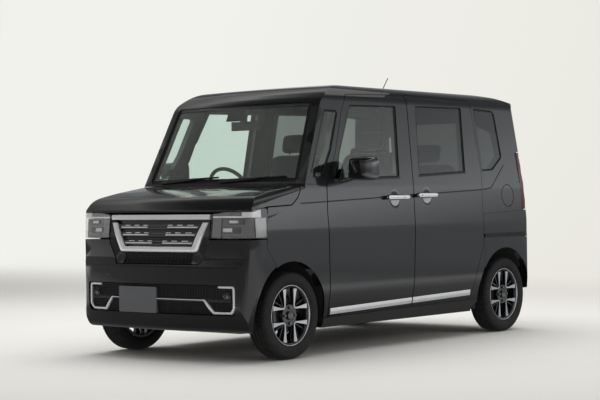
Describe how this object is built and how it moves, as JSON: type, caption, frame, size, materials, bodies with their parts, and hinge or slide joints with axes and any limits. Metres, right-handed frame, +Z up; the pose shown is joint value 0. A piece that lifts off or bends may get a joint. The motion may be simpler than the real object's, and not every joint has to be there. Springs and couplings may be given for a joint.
{
  "type": "kei car",
  "caption": "Small tall-roofed passenger car with hinged front doors, sliding rear doors, a bonnet, a tailgate and steered front wheels.",
  "frame": {"origin": "on the ground, at the middle of the overall length and width", "axes": "+Z up, -Y towards the nose, +X towards the car's own left side"},
  "size_m": [1.87, 3.3949, 1.9118],
  "materials": {
    "paint": "gloss metallic",
    "steel": "satin",
    "black_plastic": "satin",
    "glass": "clear",
    "privacy_glass": "dark",
    "lamp": "clear",
    "plate": "matt",
    "rubber": "matt",
    "alloy": "machined and black",
    "fabric": "woven"
  },
  "bodies": {
    "body": {"body_shell": "paint", "cowl": "black_plastic", "cross_member": "steel", "dashboard": "black_plastic", "engine": "steel", "exhaust": "steel", "floor_pan": "steel", "front_bumper": "paint", "front_quarter_glass_left": "glass", "front_quarter_glass_right": "glass", "front_seats": "fabric", "front_wing_left": "paint", "front_wing_right": "paint", "grille": "black_plastic", "headlamp_left": "lamp", "headlamp_right": "lamp", "intake_grille": "black_plastic", "number_plate_front": "plate", "rear_axle": "steel", "rear_bumper": "paint", "rear_quarter_glass_left": "privacy_glass", "rear_quarter_glass_right": "privacy_glass", "rear_seat": "fabric", "sliding_door_glass_left": "privacy_glass", "sliding_door_glass_right": "privacy_glass", "sliding_door_left": "paint", "sliding_door_right": "paint", "strut_left": "steel", "strut_right": "steel", "tail_lamp_left": "lamp", "tail_lamp_right": "lamp", "windscreen": "glass"},
    "front_door_left": {"front_door_left": "paint", "front_door_glass_left": "glass", "mirror_left": "black_plastic"},
    "front_door_right": {"front_door_right": "paint", "front_door_glass_right": "glass", "mirror_right": "black_plastic"},
    "bonnet": {"bonnet": "paint"},
    "tailgate": {"tailgate": "paint", "tailgate_glass": "privacy_glass", "number_plate_rear": "plate"},
    "fuel_lid": {"fuel_lid": "paint"},
    "knuckle_left": {"knuckle_left": "steel"},
    "knuckle_right": {"knuckle_right": "steel"},
    "steering_wheel": {"steering_wheel": "black_plastic"},
    "wheel_front_left": {"tyre_front_left": "rubber", "rim_front_left": "alloy"},
    "wheel_front_right": {"tyre_front_right": "rubber", "rim_front_right": "alloy"},
    "wheel_rear_left": {"tyre_rear_left": "rubber", "rim_rear_left": "alloy"},
    "wheel_rear_right": {"tyre_rear_right": "rubber", "rim_rear_right": "alloy"}
  },
  "joints": [
    {"name": "left_door_hinge", "type": "hinge", "parent": "body", "child": "front_door_left", "pos_m": [0.718, -0.75, 0.65], "axis": [0, 0, -1], "range_deg": [0, 68]},
    {"name": "right_door_hinge", "type": "hinge", "parent": "body", "child": "front_door_right", "pos_m": [-0.718, -0.75, 0.65], "axis": [0, 0, 1], "range_deg": [0, 68]},
    {"name": "bonnet_hinge", "type": "hinge", "parent": "body", "child": "bonnet", "pos_m": [0, -1.09, 1.092], "axis": [-1, 0, 0], "range_deg": [0, 60]},
    {"name": "tailgate_hinge", "type": "hinge", "parent": "body", "child": "tailgate", "pos_m": [0, 1.5, 1.742], "axis": [1, 0, 0], "range_deg": [0, 80]},
    {"name": "fuel_lid_hinge", "type": "hinge", "parent": "body", "child": "fuel_lid", "pos_m": [0.724, 1.299, 1.014], "axis": [0, 0, -1], "range_deg": [0, 80]},
    {"name": "steer_left", "type": "hinge", "parent": "body", "child": "knuckle_left", "pos_m": [0.56, -1.2055, 0.277], "axis": [0, 0, 1], "range_deg": [-33, 33]},
    {"name": "steer_right", "type": "hinge", "parent": "body", "child": "knuckle_right", "pos_m": [-0.56, -1.2055, 0.277], "axis": [0, 0, 1], "range_deg": [-33, 33]},
    {"name": "steering_wheel_turn", "type": "hinge", "parent": "body", "child": "steering_wheel", "pos_m": [-0.34, -0.56, 1.07], "axis": [0, 0.8829, 0.4695], "range_deg": [-540, 540]},
    {"name": "front_left_wheel_spin", "type": "hinge", "parent": "knuckle_left", "child": "wheel_front_left", "pos_m": [0.6525, -1.2055, 0.277], "axis": [1, 0, 0], "continuous": true},
    {"name": "front_right_wheel_spin", "type": "hinge", "parent": "knuckle_right", "child": "wheel_front_right", "pos_m": [-0.6525, -1.2055, 0.277], "axis": [1, 0, 0], "continuous": true},
    {"name": "rear_left_wheel_spin", "type": "hinge", "parent": "body", "child": "wheel_rear_left", "pos_m": [0.6525, 1.3145, 0.277], "axis": [1, 0, 0], "continuous": true},
    {"name": "rear_right_wheel_spin", "type": "hinge", "parent": "body", "child": "wheel_rear_right", "pos_m": [-0.6525, 1.3145, 0.277], "axis": [1, 0, 0], "continuous": true}
  ],
  "couplings": [
    {"joint": "steer_right", "follows": "steer_left", "ratio": 1},
    {"joint": "steering_wheel_turn", "follows": "steer_left", "ratio": 16}
  ]
}
